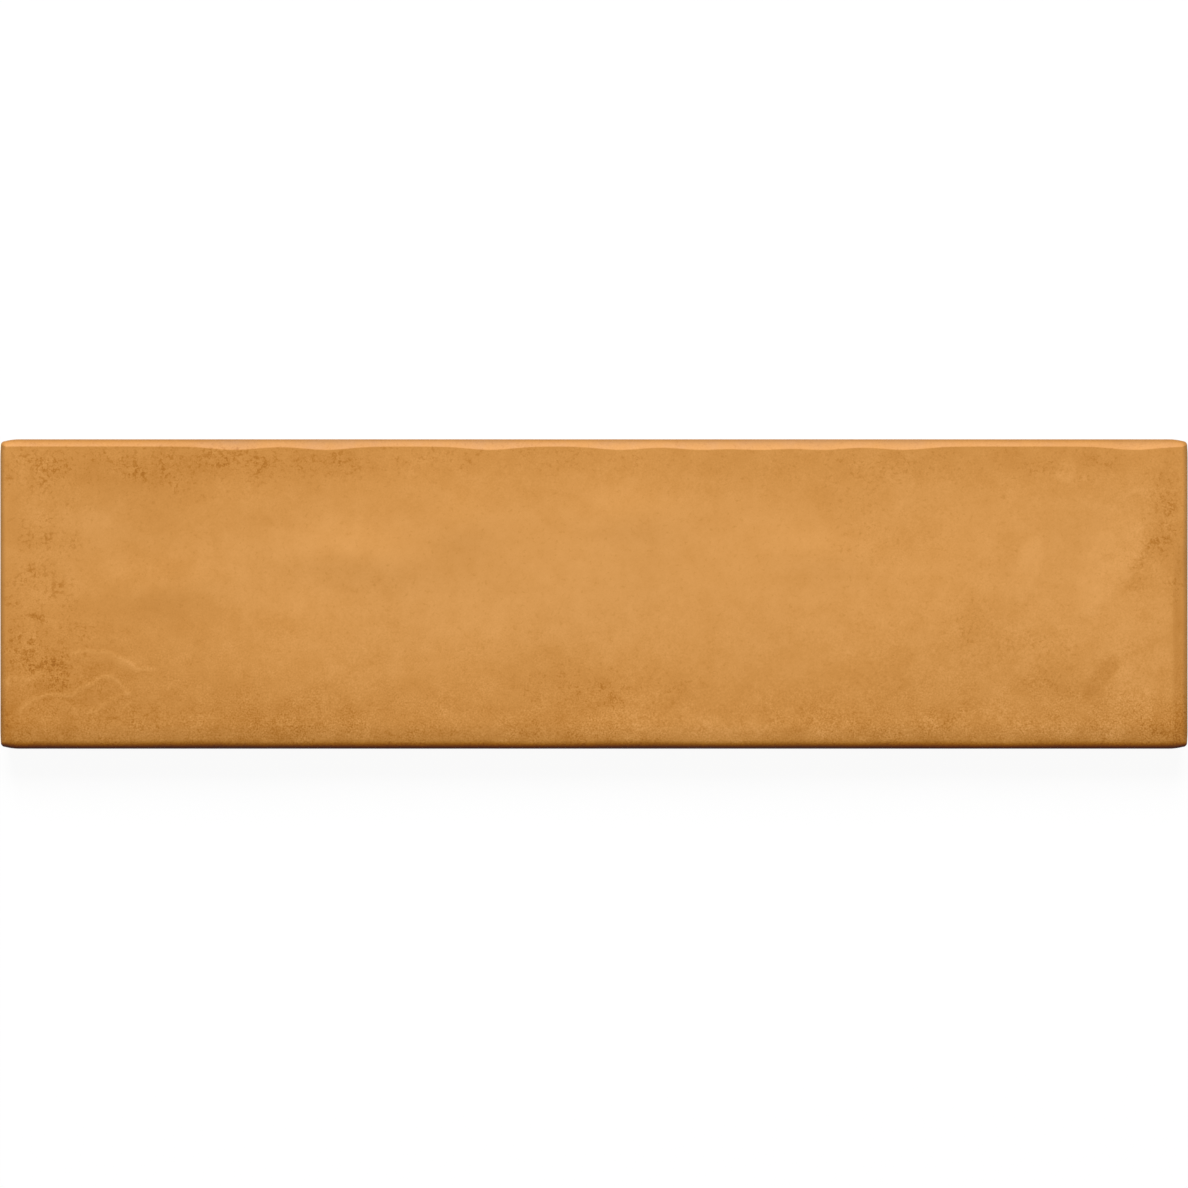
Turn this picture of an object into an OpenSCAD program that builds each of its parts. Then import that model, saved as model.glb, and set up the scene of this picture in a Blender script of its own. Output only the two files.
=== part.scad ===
// Glazed ceramic wall tile with a hand-formed face, lying on its keyed back.
// X runs along the tile, Y across it, and Z up from the bonding plane of the back.

/* [Tile] */
// Length of the tile
tile_length = 250; // [120:0.5:320]
// Width of the tile
tile_width = 65.2; // [40:0.2:130]
// Thickness at the middle of the glazed face, between its waves
tile_thickness = 8.5; // [6:0.1:14]

/* [Sides and corners] */
// Radius of the upright corners
corner_radius = 0.9; // [0.5:0.1:2]
// How far each long side draws in towards its corners
corner_ease = 0.38; // [0:0.02:0.6]
// How far each short end draws in towards its corners
end_ease = 0.1; // [0:0.05:0.6]
// How far along each side that drawing in reaches
ease_length = 3; // [2:0.5:12]
// How far each side leans in, from under the rolled edge down to the back
side_draft = 0.25; // [0:0.05:0.6]
// Chamfer round the back
back_chamfer = 0.4; // [0.2:0.05:1]

/* [Rolled edge] */
// Width of the rolled edge along the two long sides
roll_width = 1.8; // [1.4:0.1:3]
// Width of the rolled edge along the two short ends
end_roll_width = 1.3; // [1:0.1:2.5]
// Height that the rolled edge falls through
roll_drop = 1.6; // [0.8:0.1:2.5]
// Slope at which it leaves the face along the upper long side, in degrees
crease_slope = 25; // [5:1:35]
// Slope at which it leaves the face along the other three sides, in degrees
plain_slope = 12; // [0:1:30]
// How far the crease dips into the face along the upper long side
dip_depth = 0.7; // [0:0.05:1]
// Length of one dip
dip_length = 13; // [8:1:30]
// How far the creases of the other three sides sway either way
crease_sway = 0.15; // [0:0.05:0.3]
// Length of one sway
sway_length = 31; // [15:1:60]

/* [Glazed face] */
// Height of the slow waves, from trough to crest
wave_height = 0.7; // [0:0.05:1]
// Length of the slowest wave
wave_length = 96; // [40:1:160]
// How far the face falls from its middle to its creases
crown = 0.2; // [0:0.05:0.5]
// Height of the short swells that the hand leaves between the waves
swell_height = 0.25; // [0:0.05:0.4]
// Width of the shoulder inside the lower long side's crease
shoulder_width = 4; // [2:0.5:8]
// Height that the shoulder falls through
shoulder_drop = 0.3; // [0:0.05:0.5]
// Width of the worn facet inside the right-hand end's rolled edge
facet_width = 2.1; // [1:0.1:4]
// Height that the facet falls through
facet_drop = 0.4; // [0:0.05:0.6]

/* [Keyed back] */
// Depth of the pockets that key the adhesive
pocket_depth = 0.8; // [0.3:0.1:1.5]
// Draft of a pocket's walls: how far each leans in over that depth
pocket_draft = 0.3; // [0:0.05:0.6]
// Side of one pocket, before the pockets are spread over the back
pocket_size = 14; // [8:0.5:20]
// Radius of a pocket's corners
pocket_radius = 2; // [0.5:0.1:3]
// Width of the ribs between the pockets
rib_width = 3; // [1.5:0.1:6]
// Width of the flat rim round all the pockets
rim_width = 6; // [3:0.5:12]

/* [Hidden] */
GLAZE_COLOUR = [0.82, 0.58, 0.32];

// Shares of the half length at which the upper crease dips
DIPS = [-0.605, -0.45, -0.175, 0.045, 0.18, 0.28, 0.385, 0.52, 0.91];
// The waves of the face: share of the height, heading, length as a share of the slowest, phase
WAVES = [
    [0.36, 24, 1.00, 40],
    [0.28, -62, 0.66, 200],
    [0.22, 78, 0.45, 15],
    [0.14, -41, 0.33, 130],
];
// The swells: place as shares of the half length and half width, then half length and half width
// in millimetres, heading, and share of the height
SWELLS = [
    [-0.41, 0.24, 15, 5.0, -4, 1.0],
    [-0.72, 0.05, 13, 5.0, 3, 0.8],
    [-0.22, 0.44, 6, 4.5, 10, 0.6],
    [0.06, 0.50, 9, 4.5, 0, 0.7],
    [0.38, 0.25, 10, 4.5, -6, 0.6],
];
// The facet is whole below the first share of the half width, and gone above the second
FACET_FADE = [0, 0.4];

CROWN_ALONG = 6;  // how late the crown falls along the tile: a higher power keeps the middle flatter
CROWN_ACROSS = 2; // how late it falls across the tile
DIP_REST = 0.3;   // share of a dip that the upper crease stands back by, between its dips
SWAY_RATIO = 0.62; // the creases sway at this share of the sway's pace too, so that no two match
MOST_FALL = 0.8;  // the leaving slope reaches no further down than this share of the roll

FACE_STEP = 3.2;  // spacing of the face's mesh
ROLL_STEPS = 5;   // rings down the rolled edge
CORNER_STEPS = 4; // steps round an upright corner
CUT = 1;          // a cut starts this far outside the face that it opens
$fn = 12;         // facets round a pocket's four corners

half_length = tile_length / 2;
half_width = tile_width / 2;
side_top = tile_thickness - roll_drop;

// The crease is where the rolled edge meets the face
crease_x = half_length - end_roll_width;
crease_y = half_width - roll_width;

columns = 2 * ceil(crease_x / FACE_STEP);
rows = 2 * ceil(crease_y / FACE_STEP);
column_x = [
    for (i = [0 : columns])
        i == columns ? crease_x
                     : (2 * crease_x - facet_width) * i / (columns - 1) - crease_x
];
row_y = [for (j = [0 : rows]) crease_y * (2 * j / rows - 1)];

// The upright outline, once round from the lower left corner:
// the face's column and row, the share of each half size, and the heading of the side
outline_stations = concat(
    [for (i = [1 : columns - 1]) [i, 0, column_x[i] / crease_x, -1, -90]],
    [for (s = [0 : CORNER_STEPS]) [columns, 0, 1, -1, -90 + 90 * s / CORNER_STEPS]],
    [for (j = [1 : rows - 1]) [columns, j, 1, row_y[j] / crease_y, 0]],
    [for (s = [0 : CORNER_STEPS]) [columns, rows, 1, 1, 90 * s / CORNER_STEPS]],
    [for (i = [columns - 1 : -1 : 1]) [i, rows, column_x[i] / crease_x, 1, 90]],
    [for (s = [0 : CORNER_STEPS]) [0, rows, -1, 1, 90 + 90 * s / CORNER_STEPS]],
    [for (j = [rows - 1 : -1 : 1]) [0, j, -1, row_y[j] / crease_y, 180]],
    [for (s = [0 : CORNER_STEPS]) [0, 0, -1, -1, 180 + 90 * s / CORNER_STEPS]]
);
station_count = len(outline_stations);
face_count = (columns + 1) * (rows + 1);

// Pockets fill the back inside the rim, in an even number of columns so that a rib crosses its middle
pocket_columns = 2 * round((tile_length - 2 * rim_width + rib_width) / (pocket_size + rib_width) / 2);
pocket_rows = round((tile_width - 2 * rim_width + rib_width) / (pocket_size + rib_width));
pitch_x = (tile_length - 2 * rim_width + rib_width) / pocket_columns;
pitch_y = (tile_width - 2 * rim_width + rib_width) / pocket_rows;

function total(values, i = 0) = i == len(values) ? 0 : values[i] + total(values, i + 1);

// A smooth step from 0 to 1 as t goes from 0 to 1
function ease_step(t) = let (c = min(max(t, 0), 1)) c * c * (3 - 2 * c);

// Height of one swell over the face
function swell(s, x, y) =
    let (right = x - s[0] * half_length)
    let (up = y - s[1] * half_width)
    let (along = right * cos(s[4]) + up * sin(s[4]))
    let (across = up * cos(s[4]) - right * sin(s[4]))
    swell_height * s[5] * exp(-pow(along / s[2], 2) - pow(across / s[3], 2));

// Height of the glazed face, without its facet
function face_height(x, y) =
    tile_thickness
    - crown * max(pow(x / crease_x, CROWN_ALONG), pow(y / crease_y, CROWN_ACROSS))
    + wave_height / 2 * total([
        for (w = WAVES)
            w[0] * sin(360 * (x * cos(w[1]) + y * sin(w[1])) / (wave_length * w[2]) + w[3])
    ])
    + total([for (s = SWELLS) swell(s, x, y)])
    - shoulder_drop * pow(max(0, 1 - (y + crease_y) / shoulder_width), 2);

function facet_share(y) =
    ease_step((FACET_FADE[1] - y / half_width) / (FACET_FADE[1] - FACET_FADE[0]));

function dip(x) =
    min(1, total([for (d = DIPS) exp(-pow((x - d * half_length) / (dip_length / 2), 2))]));

function sway(p) =
    let (turn = 360 * p / sway_length)
    crease_sway * (sin(turn) + sin(turn * SWAY_RATIO)) / 2;

// A point of the face's mesh; the outermost columns and rows lie on the crease
function face_point(i, j) =
    let (x = column_x[i])
    let (y = row_y[j])
    let (inset_x = i == 0 || i == columns ? sway(y + x) : 0)
    let (inset_y = j == rows ? dip_depth * (dip(x) - DIP_REST) : j == 0 ? sway(x) : 0)
    [
        x - sign(x) * inset_x,
        y - sign(y) * inset_y,
        face_height(x, y) - (i == columns ? facet_drop * facet_share(y) : 0)
    ];

// How far a side is drawn in at a share of its half length: 1 at its corners, easing to 0 before its middle
function drawn_in(share, half_side) =
    pow(max(0, 1 - (1 - abs(share)) * half_side / ease_length), 2);

// A point of the upright outline, drawn in all round by an inset
function outline_point(station, inset) =
    let (end_inset = inset + corner_radius + end_ease * drawn_in(station[3], half_width))
    let (side_inset = inset + corner_radius + corner_ease * drawn_in(station[2], half_length))
    [
        station[2] * (half_length - end_inset) + corner_radius * cos(station[4]),
        station[3] * (half_width - side_inset) + corner_radius * sin(station[4])
    ];

// Slope of the rolled edge at its crease: steep along the upper side, and easing round its two corners
function leaving_slope(heading) =
    plain_slope + (crease_slope - plain_slope) * ease_step(sin(heading));

// A point of the rolled edge, on a curve that leaves the crease at that slope and ends upright
function roll_point(station, step) =
    let (t = step / ROLL_STEPS)
    let (out = t * (2 - t))
    let (crease = face_point(station[0], station[1]))
    let (side = outline_point(station, 0))
    let (width = norm([side[0] - crease[0], side[1] - crease[1]]))
    let (fall = min(width * tan(leaving_slope(station[4])), MOST_FALL * (crease[2] - side_top)))
    [
        crease[0] + (side[0] - crease[0]) * out,
        crease[1] + (side[1] - crease[1]) * out,
        pow(1 - t, 2) * crease[2] + 2 * t * (1 - t) * (crease[2] - fall) + t * t * side_top
    ];

function side_point(station, inset, z) = concat(outline_point(station, inset), z);

// Ring 0 is the crease, and its stations round one corner share one point of the face
function ring_index(ring, k) =
    let (s = k % station_count)
    ring == 0 ? outline_stations[s][0] * (rows + 1) + outline_stations[s][1]
              : face_count + (ring - 1) * station_count + s;

// The blank: glazed face, rolled edge, drafted sides and chamfered back, closed by a flat bonding plane
module blank() {
    side_ring = ROLL_STEPS + 2;
    middle = face_count + side_ring * station_count;
    points = concat(
        [for (i = [0 : columns]) for (j = [0 : rows]) face_point(i, j)],
        [for (step = [1 : ROLL_STEPS]) for (s = outline_stations) roll_point(s, step)],
        [for (s = outline_stations) side_point(s, side_draft, back_chamfer)],
        [for (s = outline_stations) side_point(s, side_draft + back_chamfer, 0)],
        [[0, 0, 0]]
    );
    face_quads = [
        for (i = [0 : columns - 1])
            for (j = [0 : rows - 1])
                let (a = i * (rows + 1) + j)
                [a, a + 1, a + rows + 2, a + rows + 1]
    ];
    ring_quads = [
        for (ring = [0 : side_ring - 1])
            for (k = [0 : station_count - 1])
                [ring_index(ring, k), ring_index(ring, k + 1),
                 ring_index(ring + 1, k + 1), ring_index(ring + 1, k)]
    ];
    triangles = [
        for (q = concat(face_quads, ring_quads))
            for (t = [[q[0], q[1], q[2]], [q[0], q[2], q[3]]])
                if (t[0] != t[1]) t
    ];
    back = [
        for (k = [0 : station_count - 1])
            [ring_index(side_ring, k), ring_index(side_ring, k + 1), middle]
    ];
    polyhedron(points, concat(triangles, back), convexity = 4);
}

// The cutter of one pocket, from below the back up to the pocket's bed, leaning in by the draft
module key_pocket() {
    lean = pocket_draft / pocket_depth;
    foot = [pitch_x - rib_width, pitch_y - rib_width] + 2 * lean * CUT * [1, 1];
    bed = foot - 2 * lean * (CUT + pocket_depth) * [1, 1];
    linear_extrude(CUT + pocket_depth, scale = [bed[0] / foot[0], bed[1] / foot[1]], slices = 1)
        offset(pocket_radius)
            square(foot - 2 * pocket_radius * [1, 1], center = true);
}

module key_pockets() {
    for (i = [0 : pocket_columns - 1])
        for (j = [0 : pocket_rows - 1])
            translate([
                (i - (pocket_columns - 1) / 2) * pitch_x,
                (j - (pocket_rows - 1) / 2) * pitch_y,
                -CUT
            ])
                key_pocket();
}

module tile() {
    color(GLAZE_COLOUR)
        difference() {
            blank();
            key_pockets();
        }
}

tile();
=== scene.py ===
"""Looks of a hand-formed glazed wall tile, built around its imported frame.

X runs along the tile, Y across it and Z up from the bonding plane of its back. Lengths are worked out
in millimetres, and the meshes are in metres.
"""

import math
from types import SimpleNamespace

import bmesh
import bpy
import numpy as np
from bpy.props import FloatProperty, FloatVectorProperty, PointerProperty
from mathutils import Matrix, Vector, noise


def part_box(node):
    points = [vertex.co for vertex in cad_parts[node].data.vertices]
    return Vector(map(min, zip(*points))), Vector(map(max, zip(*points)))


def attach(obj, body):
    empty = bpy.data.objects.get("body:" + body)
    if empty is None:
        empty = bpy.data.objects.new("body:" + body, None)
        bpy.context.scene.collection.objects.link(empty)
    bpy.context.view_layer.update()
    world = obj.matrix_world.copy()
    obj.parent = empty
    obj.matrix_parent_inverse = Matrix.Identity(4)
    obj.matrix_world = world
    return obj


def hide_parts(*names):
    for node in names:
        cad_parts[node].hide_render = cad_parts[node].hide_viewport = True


bl_info = {
    "name": "Glazed Wall Tile",
    "version": (1, 0, 0),
    "blender": (4, 5, 0),
    "location": "3D View > Sidebar > Wall Tile",
    "description": "Makes a hand-formed glazed wall tile, its glaze and fired clay, and a plain stage",
    "category": "Add Mesh",
}

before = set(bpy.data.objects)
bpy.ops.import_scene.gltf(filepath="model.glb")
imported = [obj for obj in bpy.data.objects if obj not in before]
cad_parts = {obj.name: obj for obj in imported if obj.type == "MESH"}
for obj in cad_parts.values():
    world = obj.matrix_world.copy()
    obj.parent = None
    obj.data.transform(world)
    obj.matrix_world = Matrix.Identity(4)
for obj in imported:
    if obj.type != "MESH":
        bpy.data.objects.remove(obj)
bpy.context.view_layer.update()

MM = 0.001
NODE = "tile"
LOW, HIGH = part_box(NODE)

# Clearance that keeps the visible tile inside its frame
CLEARANCE = 0.02

# The same forms as in the tile's construction. Its upper crease dips at these shares of the half length
DIPS = (-0.605, -0.45, -0.175, 0.045, 0.18, 0.28, 0.385, 0.52, 0.91)
DIP_REST = 0.3          # share of a dip that this crease stands back by, between its dips
SWAY_RATIO = 0.62       # the other creases sway at this share of the sway's pace too
# Waves: share of the height, heading, length as a share of the slowest, phase
WAVES = (
    (0.36, 24, 1.00, 40),
    (0.28, -62, 0.66, 200),
    (0.22, 78, 0.45, 15),
    (0.14, -41, 0.33, 130),
)
# Swells: place as shares of the half sizes, half length and half width, heading, share of the height
SWELLS = (
    (-0.41, 0.24, 15, 5.0, -4, 1.0),
    (-0.72, 0.05, 13, 5.0, 3, 0.8),
    (-0.22, 0.44, 6, 4.5, 10, 0.6),
    (0.06, 0.50, 9, 4.5, 0, 0.7),
    (0.38, 0.25, 10, 4.5, -6, 0.6),
)
CROWN_ALONG = 6         # how late the crown falls along the tile
CROWN_ACROSS = 2        # how late it falls across the tile
FACET_FADE = (0, 0.4)   # shares of the half width: the facet is whole below one, and gone above the other
CREASE_SLOPE = math.radians(25)     # slope at which the rolled edge leaves the face on the upper side
PLAIN_SLOPE = math.radians(12)      # and on the other three
MOST_FALL = 0.8         # that slope reaches no further down than this share of the roll

# How the mesh is laid out
FACE_STEP = 0.62        # spacing of the face's lines
FINE_STEP = 0.36        # spacing where the finger marks are
CREASE_STEP = 0.12      # spacing beside a crease, so that it stays crisp
CREASE_REACH = 0.24     # how far that close spacing reaches
WANDER_REACH = 6        # how far inside a crease the lines follow its wandering
ROLL_STEPS = (0.03, 0.1, 0.2, 0.31, 0.43, 0.55, 0.67, 0.79, 0.9, 1.0)  # rings down the rolled edge
CORNER_STEPS = 8        # steps round an upright corner
POCKET_CORNER_STEPS = 6
ROUND_TURNS = np.radians((0, 30, 60, 90))   # steps round a small rounding
FINE_COLUMNS = (-0.97, -0.74)   # shares of the half length between which the finger marks lie
FINE_ROWS = (-0.78, -0.34)      # shares of the half width between which they lie
GLAZED_STEPS = (0.2, 0.5, 0.8)  # rings down the glazed part of the sides
BARE_STEPS = (0.5, 0.85)        # rings down the bare part
# The coat's rounded lip: height over the glaze line, and how far in, both in thicknesses of the coat
COAT_LIP = ((2.2, -0.25), (0.9, -0.1), (0.2, 0.35))
POCKET_ROUND = 0.22     # radius round a pocket's mouth and bed
LIP_REACH = 0.5         # how far below the glaze line the clay's own grain begins
CLAY_GRIT = 0.03        # depth of that grain
NICK_SHARE = 0.35       # how far the glaze line's short bends go, as a share of its long ones
# Noises down the sides: size of their largest clouds, octaves, seed
LINE_BENDS = (23, 3, 5.7)
LINE_NICKS = (4, 3, 8.1)
CLAY_GRAINS = (1.6, 2, 2.9)
MOST_TRIANGLES = 200_000

# The glaze down the rolled edge of the lower side, where it ran together: how many coats thick. Its
# darkening is partly painted shade: it lies only on the side away from the key light, and on the glazed
# upright sides.
POOL_AND_SHADE_GROWTH = 2.2       # how fast it thickens
POOL_AND_SHADE_POWER = 1.65       # how late
MOST_POOL_AND_SHADE = 1.95
UNDER_START = 0.76      # share of the way down from which it thins again
UNDER_LESS = 0.5        # how much of it is gone where the side begins
FACE_POOL_AND_SHADE = 0.03        # how thick it is already at the crease above that edge
POOL_AND_SHADE_REACH = 1.5        # how far into the face that reaches
SIDE_POOL_AND_SHADE = 0.35        # how thick it is down the sides
SIDE_FADE = 0.9         # how far down the sides it takes to get there
# Painted shade that darkens the other rolled edges towards their outer edge: how strong it is
RIM_SHADE_START = 0.6        # share of the way down from which it is strongest
RIM_SHADE_POWER = 2.4        # how late it comes on
MOST_RIM_SHADE = 0.9
END_SOONER = 1.4        # how much sooner it comes on over the ends
END_LESS = 0.3          # how much weaker it is there

# The stage, in metres
KEY_HEADING = math.radians(-3)
KEY_DISTANCE = 2.4
KEY_SIZE = 1.3
FLOOR_REACH = 3
FLOOR_GAP = 0.05 * MM
FLOOR_SHARE = 0.08      # share of the lamps' light that shows on the floor, and so its shadow
FLOOR_GLOW = 0.93       # its own paleness, which the lamps lift to white outside the shadow
FLOOR_BOUNCE = 0.4      # light that so white a floor throws back onto the tile's sides
PICTURE_MARGIN = 0.065 * MM     # left free at either end of the tile


# ---------------------------------------------------------------- sizes and colours a user may change


def linear(hex_colour):
    """The linear colour that Blender works in, with its alpha, of an sRGB hex colour."""
    parts = [int(hex_colour[i:i + 2], 16) / 255 for i in (1, 3, 5)]
    return [c / 12.92 if c <= 0.04045 else ((c + 0.055) / 1.055) ** 2.4 for c in parts] + [1.0]


def length(name, millimetres, description):
    """A length property, given in millimetres and held in metres."""
    return FloatProperty(
        name=name, description=description, default=millimetres * MM, min=0, precision=5, unit="LENGTH"
    )


def colour(name, hex_colour, description):
    """A colour property, given as an sRGB hex colour."""
    return FloatVectorProperty(
        name=name, description=description, default=linear(hex_colour), size=4, min=0, max=1,
        subtype="COLOR",
    )


def share(name, value, description):
    """A property from 0 to 1."""
    return FloatProperty(
        name=name, description=description, default=value, min=0, max=1, subtype="FACTOR"
    )


class TileSizes(bpy.types.PropertyGroup):
    """Sizes of the tile's forms."""

    tile_length: length("Length", (HIGH.x - LOW.x) / MM, "Length of the tile")
    tile_width: length("Width", (HIGH.y - LOW.y) / MM, "Width of the tile")
    top: length("Height", HIGH.z / MM, "Height of the highest point of the glazed face")
    side_top: length("Side height", 6.9, "Height at which the rolled edge ends and the sides begin")
    roll_width: length("Roll width", 1.8, "Width of the rolled edge along the long sides")
    end_roll_width: length("End roll width", 1.3, "Width of the rolled edge along the short ends")
    corner_radius: length("Corner radius", 0.9, "Radius of the upright corners")
    corner_ease: length("Corner ease", 0.38, "How far each long side draws in towards its corners")
    end_ease: length("End ease", 0.1, "How far each short end draws in towards its corners")
    ease_length: length("Ease length", 3, "How far along a side that drawing in reaches")
    side_draft: length("Side draft", 0.25, "How far each side leans in down to the back")
    back_chamfer: length("Back chamfer", 0.4, "Rounded chamfer round the back")
    dip_depth: length("Dip depth", 0.7, "How far the upper crease dips into the face")
    dip_length: length("Dip length", 13, "Length of one dip")
    crease_sway: length("Crease sway", 0.15, "How far the other creases sway either way")
    sway_length: length("Sway length", 31, "Length of one sway")
    wave_height: length("Wave height", 0.7, "Height of the slow waves, from trough to crest")
    wave_length: length("Wave length", 96, "Length of the slowest wave")
    crown: length("Crown", 0.2, "How far the face falls from its middle to its creases")
    swell_height: length("Swell height", 0.25, "Height of the short swells between the waves")
    shoulder_width: length("Shoulder width", 4, "Width of the shoulder inside the lower crease")
    shoulder_drop: length("Shoulder drop", 0.3, "Height that the shoulder falls through")
    facet_width: length("Facet width", 2.1, "Width of the worn facet inside the right-hand end")
    facet_drop: length("Facet drop", 0.4, "Height that the facet falls through")
    pocket_depth: length("Pocket depth", 0.8, "Depth of the pockets in the back")
    pocket_draft: length("Pocket draft", 0.3, "How far a pocket's walls lean in over its depth")
    pocket_size: length("Pocket size", 14, "Side of a pocket, before they are spread over the back")
    pocket_radius: length("Pocket radius", 2, "Radius of a pocket's corners")
    rib_width: length("Rib width", 3, "Width of the ribs between the pockets")
    rim_width: length("Rim width", 6, "Width of the flat rim round all the pockets")
    glaze_line: length("Glaze line", 3.6, "Mean height at which the glaze ends on the sides")
    glaze_wander: length("Glaze line wander", 0.8, "How far the glaze line wanders up and down")
    glaze_coat: length("Glaze coat", 0.12, "Thickness of the glaze coat over the fired clay")


class GlazeFinish(bpy.types.PropertyGroup):
    """Colours of the glaze."""

    # The tone attribute picks among these stops, and it also carries painted light and shade, so the
    # lighter stops show painted light and the darker ones painted shade as well.
    pale: colour("Pale", "#F9C07C", "Glaze where the spray lies thinnest")
    light: colour("Light", "#E5A761", "Glaze on the high, rubbed parts")
    body: colour("Body", "#CC8E46", "Glaze over most of the face")
    dark: colour("Dark", "#B37429", "Glaze where it lies thicker")
    deep: colour("Deep", "#8D4F06", "Glaze in the speckles")
    # The next colour browns and darkens the glaze where it ran together on the lower rolled edge, partly
    # as painted shade; the one after is a grey painted shade along the other rolled edges.
    filter: colour("Filter", "#97710D", "What a thick, pooled coat of glaze leaves of the colour")
    rim_shade: colour("Thin", "#D4D6DA", "What a thin coat leaves of the colour, with the clay behind it")
    roughness: share("Roughness", 0.46, "Roughness of the satin surface")


class ClayFinish(bpy.types.PropertyGroup):
    """Colours of the fired clay."""

    body: colour("Body", "#D8BEA0", "Fired clay")
    dark: colour("Dark", "#B7977A", "Grog and iron spots in the clay")
    wash: colour("Wash", "#E9DFCE", "Kiln wash on the ribs and rim of the back")
    roughness: share("Roughness", 0.9, "Roughness of the unglazed clay")


class StageSettings(bpy.types.PropertyGroup):
    """Lights, floor and camera."""

    key_power: FloatProperty(
        name="Key light", description="Power of the large soft key light",
        default=73.5, min=0, unit="POWER",
    )
    key_elevation: FloatProperty(
        name="Key elevation", description="Height of the key light over the horizon",
        default=math.radians(37), min=0, max=math.pi / 2, unit="ROTATION",
    )
    room_light: share("Room light", 0.28, "Strength of the even light from all round")
    floor: colour("Floor", "#FFFFFF", "Plain pale floor")
    lens: FloatProperty(
        name="Lens", description="Focal length of the camera, in millimetres",
        default=150, min=20, max=400,
    )


def in_millimetres(sizes):
    """The tile's sizes in millimetres, with its half sizes and the mean places of its creases."""
    s = SimpleNamespace(**{name: getattr(sizes, name) / MM for name in sizes.__annotations__})
    s.half_length = s.tile_length / 2
    s.half_width = s.tile_width / 2
    s.crease_x = s.half_length - s.end_roll_width
    s.crease_y = s.half_width - s.roll_width
    return s


# ---------------------------------------------------------------- form of the glazed face


def ease_step(t):
    """A smooth step from 0 to 1 as t goes from 0 to 1."""
    c = np.clip(t, 0, 1)
    return c * c * (3 - 2 * c)


def turned(x, y, centre_x, centre_y, heading):
    """Places along and across a mark that lies at a centre, turned by its heading in degrees."""
    angle = math.radians(heading)
    right = x - centre_x
    up = y - centre_y
    along = right * math.cos(angle) + up * math.sin(angle)
    across = up * math.cos(angle) - right * math.sin(angle)
    return along, across


def soft_patches(x, y, patches):
    """Sum of soft oval patches: centre, half length, half width, heading, strength."""
    total = np.zeros_like(x)
    for centre_x, centre_y, half_length, half_width, heading, strength in patches:
        along, across = turned(x, y, centre_x, centre_y, heading)
        total += strength * np.exp(-((along / half_length) ** 2) - (across / half_width) ** 2)
    return total


def cloudy(x, y, size, octaves, seed):
    """Cloudy noise from about -1 to 1, whose largest clouds have that size."""
    fading, spacing = 0.8, 2.0  # how soon further octaves fade, and how much smaller each one is
    points = zip((x / size).ravel(), (y / size).ravel())
    values = [noise.fractal(Vector((u, v, seed)), fading, spacing, octaves) for u, v in points]
    return np.array(values).reshape(x.shape)


def waves(s, x, y):
    """Height of the slow waves over the face."""
    total = np.zeros_like(x)
    for part, heading, stretch, phase in WAVES:
        along, _ = turned(x, y, 0, 0, heading)
        total += part * np.sin(2 * math.pi * along / (s.wave_length * stretch) + math.radians(phase))
    return s.wave_height / 2 * total


def face_relief(s, x, y):
    """Height of the glazed face over its mean level, without its facet and finger marks."""
    crown = np.maximum(np.abs(x / s.crease_x) ** CROWN_ALONG, np.abs(y / s.crease_y) ** CROWN_ACROSS)
    swells = [
        (u * s.half_length, v * s.half_width, along, across, heading, part * s.swell_height)
        for u, v, along, across, heading, part in SWELLS
    ]
    shoulder = np.maximum(0, 1 - (y + s.crease_y) / s.shoulder_width) ** 2
    return waves(s, x, y) + soft_patches(x, y, swells) - s.crown * crown - s.shoulder_drop * shoulder


def facet(s, x, y):
    """How far the worn facet lies under the face."""
    across = np.clip((x - s.crease_x + s.facet_width) / s.facet_width, 0, 1)
    low, high = FACET_FADE
    return s.facet_drop * across * ease_step((high - y / s.half_width) / (high - low))


def dip(s, x):
    """Share of the dip depth at a place along the upper crease."""
    places = [(x - part * s.half_length) / (s.dip_length / 2) for part in DIPS]
    return np.minimum(1, sum(np.exp(-(place ** 2)) for place in places))


def sway(s, place):
    """How far a crease has swayed from its straight line, at a place along it."""
    turn = 2 * math.pi * place / s.sway_length
    return s.crease_sway * (np.sin(turn) + np.sin(turn * SWAY_RATIO)) / 2


def wandering(s, u, v):
    """Moves the face's lines so that the outermost ones lie on the wandering creases."""
    near_x = ease_step(1 - (s.crease_x - np.abs(u)) / WANDER_REACH)
    near_y = ease_step(1 - (s.crease_y - np.abs(v)) / WANDER_REACH)
    inset_x = sway(s, v + u) * near_x
    inset_y = np.where(v > 0, s.dip_depth * (dip(s, u) - DIP_REST), sway(s, u)) * near_y
    return u - np.sign(u) * inset_x, v - np.sign(v) * inset_y


# ---------------------------------------------------------------- finger marks, clouds and speckles

# Leaf-shaped marks: centre, half length, half width, heading, taper, softness, levels lighter, height. The
# lighter ones are painted reflections on the marks, and the darker ones painted shade between the ridges
LEAVES = (
    (91.3, 5.2, 7.0, 2.4, 78, 0.35, 1.4, 4, 0.02),
    (107.8, 5.0, 12.5, 4.4, 58, 0.5, 1.4, 3.5, 0.03),
    (98.8, 25.8, 2.8, 2.0, 80, 0.0, 0.8, 6, 0.01),
    (106.5, -17.6, 5.6, 2.0, 55, 0.0, 1.2, -9, -0.02),
    (-104.0, -16.6, 8.5, 2.3, -4, 0.2, 1.2, -3, -0.02),
    (-104.5, -21.2, 7.0, 1.9, 14, 0.1, 1.2, -3, -0.02),
    (-98.5, -14.6, 3.4, 1.1, -24, 0.0, 1.0, 4, 0.01),
)
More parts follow.
